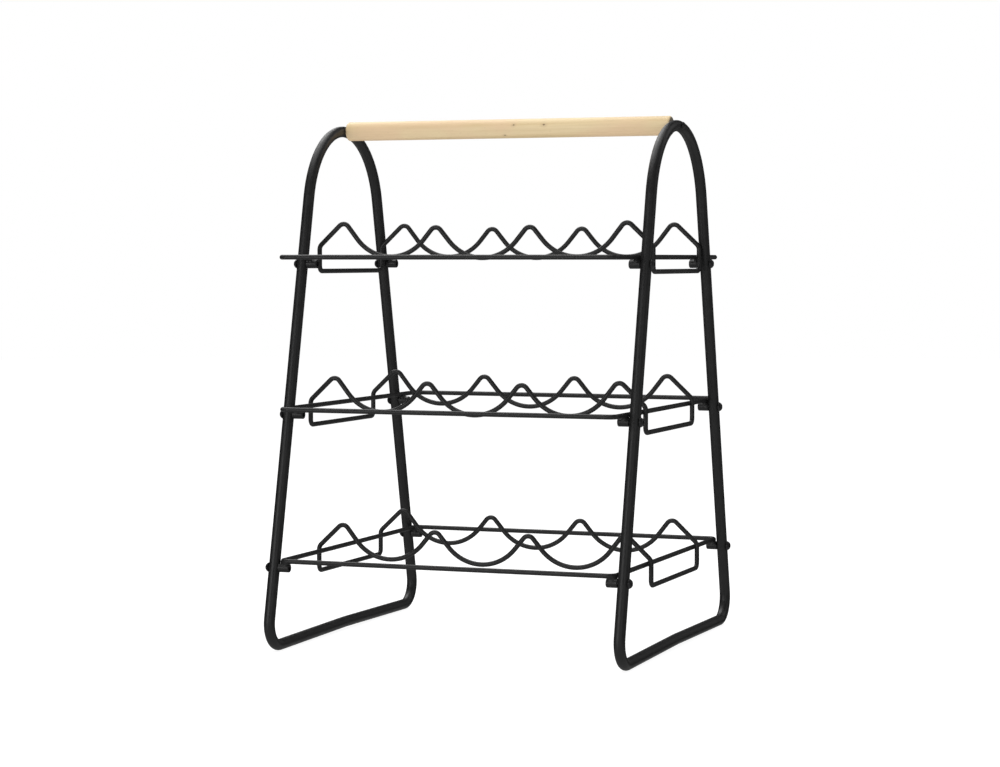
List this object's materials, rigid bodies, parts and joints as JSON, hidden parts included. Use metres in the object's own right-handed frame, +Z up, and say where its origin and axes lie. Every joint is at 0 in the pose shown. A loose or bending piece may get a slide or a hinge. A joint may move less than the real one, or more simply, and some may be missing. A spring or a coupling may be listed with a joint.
{
  "type": "wine rack",
  "caption": "Free-standing wire wine rack: arched tube side frames, wood carrying handle and shelves of wave-shaped wire that cradle bottles lying down.",
  "frame": {"origin": "on the floor, under the middle of the rack", "axes": "+Z up, X along the handle from the left frame to the right frame, -Y towards the front, where the bottles go in"},
  "size_m": [0.409, 0.407, 0.572],
  "materials": {
    "black_coating": "satin black powder coat on steel",
    "pale_wood": "pale beech with a clear matte finish",
    "black_screw": "black oxide steel",
    "zinc_plate": "zinc plated steel"
  },
  "bodies": {
    "root": {"handle_dowel": "pale_wood", "left_side_frame": "black_coating", "left_handle_screw": "black_screw", "left_handle_insert": "zinc_plate", "right_side_frame": "black_coating", "right_handle_screw": "black_screw", "right_handle_insert": "zinc_plate", "lower_shelf_ring": "black_coating", "lower_bottle_wire": "black_coating", "lower_front_left_bush": "black_coating", "lower_front_left_screw": "black_screw", "lower_front_right_bush": "black_coating", "lower_front_right_screw": "black_screw", "lower_rear_left_bush": "black_coating", "lower_rear_left_screw": "black_screw", "lower_rear_right_bush": "black_coating", "lower_rear_right_screw": "black_screw", "middle_shelf_ring": "black_coating", "middle_bottle_wire": "black_coating", "middle_front_left_bush": "black_coating", "middle_front_left_screw": "black_screw", "middle_front_right_bush": "black_coating", "middle_front_right_screw": "black_screw", "middle_rear_left_bush": "black_coating", "middle_rear_left_screw": "black_screw", "middle_rear_right_bush": "black_coating", "middle_rear_right_screw": "black_screw", "upper_shelf_ring": "black_coating", "upper_bottle_wire": "black_coating", "upper_front_left_bush": "black_coating", "upper_front_left_screw": "black_screw", "upper_front_right_bush": "black_coating", "upper_front_right_screw": "black_screw", "upper_rear_left_bush": "black_coating", "upper_rear_left_screw": "black_screw", "upper_rear_right_bush": "black_coating", "upper_rear_right_screw": "black_screw"}
  },
  "joints": []
}
